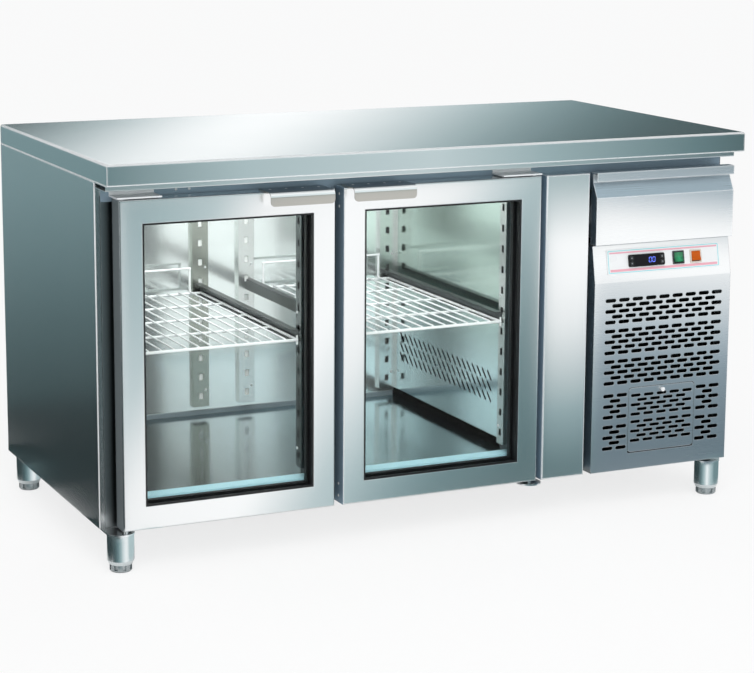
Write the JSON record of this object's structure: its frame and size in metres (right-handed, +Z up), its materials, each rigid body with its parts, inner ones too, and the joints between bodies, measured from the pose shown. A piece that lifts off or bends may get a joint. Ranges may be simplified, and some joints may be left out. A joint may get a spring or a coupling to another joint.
{
  "type": "undercounter refrigerator",
  "caption": "Steel refrigerated counter with hinged glass doors over wire shelves, a fixed post, and a machine bay with a drawer, control panel and slotted grille.",
  "frame": {"origin": "on the floor under the middle of the worktop, with the feet screwed in", "axes": "+X to the right along the front as seen by the user, +Y from the front to the back, +Z up"},
  "size_m": [1.36, 0.7, 0.768],
  "materials": {
    "steel": "satin",
    "liner": "satin",
    "dark_steel": "satin",
    "foot": "satin",
    "foam": "matte",
    "breaker": "satin",
    "wire": "gloss",
    "fins": "satin",
    "black_plastic": "satin",
    "black_metal": "gloss",
    "seal": "matte",
    "glass": "gloss",
    "overlay": "satin",
    "key": "satin",
    "green": "gloss",
    "orange": "gloss"
  },
  "bodies": {
    "cabinet": {"worktop": "steel", "front_rail": "steel", "left_side_panel": "steel", "right_side_panel": "steel", "back_panel": "steel", "base_panel": "steel", "partition_panel": "steel", "front_frame": "steel", "fixed_post": "steel", "fascia_panel": "steel", "top_hinges": "steel", "base_plates": "steel", "legs": "steel", "inner_liner": "liner", "pilasters": "liner", "evaporator_cover": "liner", "drip_tray": "liner", "shelf_runners": "dark_steel", "drawer_runners": "dark_steel", "evaporator_fan_motor": "dark_steel", "condenser_fan_motor": "dark_steel", "insulation": "foam", "breaker_strips": "breaker", "left_shelf": "wire", "right_shelf": "wire", "evaporator_coil": "fins", "condenser_coil": "fins", "cord_gland": "black_plastic", "controller": "black_plastic", "switch_bezels": "black_plastic", "compressor": "black_metal", "control_plate": "overlay"},
    "left_door": {"left_door_frame": "steel", "left_door_panes": "glass", "left_door_spacer": "black_plastic", "left_door_bead": "black_plastic", "left_door_seal": "seal", "left_door_handle": "steel"},
    "right_door": {"right_door_frame": "steel", "right_door_panes": "glass", "right_door_spacer": "black_plastic", "right_door_bead": "black_plastic", "right_door_seal": "seal", "right_door_handle": "steel"},
    "drawer": {"drawer_front": "steel", "drawer_box": "steel"},
    "flap": {"filter_flap": "steel", "flap_knob": "steel"},
    "green_switch": {"green_rocker": "green"},
    "orange_switch": {"orange_rocker": "orange"},
    "upper_left_button": {"upper_left_key": "key"},
    "lower_left_button": {"lower_left_key": "key"},
    "upper_right_button": {"upper_right_key": "key"},
    "lower_right_button": {"lower_right_key": "key"},
    "front_left_leveller": {"front_left_foot": "foot"},
    "front_right_leveller": {"front_right_foot": "foot"},
    "rear_left_leveller": {"rear_left_foot": "foot"},
    "rear_right_leveller": {"rear_right_foot": "foot"},
    "condenser_rotor": {"condenser_fan": "black_plastic"},
    "evaporator_rotor": {"evaporator_fan": "black_plastic"}
  },
  "joints": [
    {"name": "left_door_hinge", "type": "hinge", "parent": "cabinet", "child": "left_door", "pos_m": [-0.641, -0.311, 0.388], "axis": [0, 0, -1], "range_deg": [0, 100]},
    {"name": "right_door_hinge", "type": "hinge", "parent": "cabinet", "child": "right_door", "pos_m": [0.213, -0.311, 0.388], "axis": [0, 0, 1], "range_deg": [0, 100]},
    {"name": "drawer_slide", "type": "slide", "parent": "cabinet", "child": "drawer", "axis": [0, -1, 0], "range_m": [0, 0.34]},
    {"name": "flap_hinge", "type": "hinge", "parent": "cabinet", "child": "flap", "pos_m": [0.5145, -0.3218, 0.117], "axis": [1, 0, 0], "range_deg": [0, 90]},
    {"name": "green_rocker_hinge", "type": "hinge", "parent": "cabinet", "child": "green_switch", "pos_m": [0.5485, -0.31627, 0.51223], "axis": [1, 0, 0], "range_deg": [0, 14]},
    {"name": "orange_rocker_hinge", "type": "hinge", "parent": "cabinet", "child": "orange_switch", "pos_m": [0.5905, -0.31627, 0.51223], "axis": [1, 0, 0], "range_deg": [0, 14]},
    {"name": "upper_left_press", "type": "slide", "parent": "cabinet", "child": "upper_left_button", "axis": [0, 0.983, -0.1835], "range_m": [0, 0.0008], "stiffness_N_per_m": 400},
    {"name": "lower_left_press", "type": "slide", "parent": "cabinet", "child": "lower_left_button", "axis": [0, 0.983, -0.1835], "range_m": [0, 0.0008], "stiffness_N_per_m": 400},
    {"name": "upper_right_press", "type": "slide", "parent": "cabinet", "child": "upper_right_button", "axis": [0, 0.983, -0.1835], "range_m": [0, 0.0008], "stiffness_N_per_m": 400},
    {"name": "lower_right_press", "type": "slide", "parent": "cabinet", "child": "lower_right_button", "axis": [0, 0.983, -0.1835], "range_m": [0, 0.0008], "stiffness_N_per_m": 400},
    {"name": "front_left_screw", "type": "slide", "parent": "cabinet", "child": "front_left_leveller", "axis": [0, 0, -1], "range_m": [0, 0.025]},
    {"name": "front_right_screw", "type": "slide", "parent": "cabinet", "child": "front_right_leveller", "axis": [0, 0, -1], "range_m": [0, 0.025]},
    {"name": "rear_left_screw", "type": "slide", "parent": "cabinet", "child": "rear_left_leveller", "axis": [0, 0, -1], "range_m": [0, 0.025]},
    {"name": "rear_right_screw", "type": "slide", "parent": "cabinet", "child": "rear_right_leveller", "axis": [0, 0, -1], "range_m": [0, 0.025]},
    {"name": "condenser_fan_spin", "type": "hinge", "parent": "cabinet", "child": "condenser_rotor", "pos_m": [0.5115, -0.19, 0.2352], "axis": [0, 1, 0], "continuous": true},
    {"name": "evaporator_fan_spin", "type": "hinge", "parent": "cabinet", "child": "evaporator_rotor", "pos_m": [0.224, 0.0435, 0.242], "axis": [1, 0, 0], "continuous": true}
  ]
}
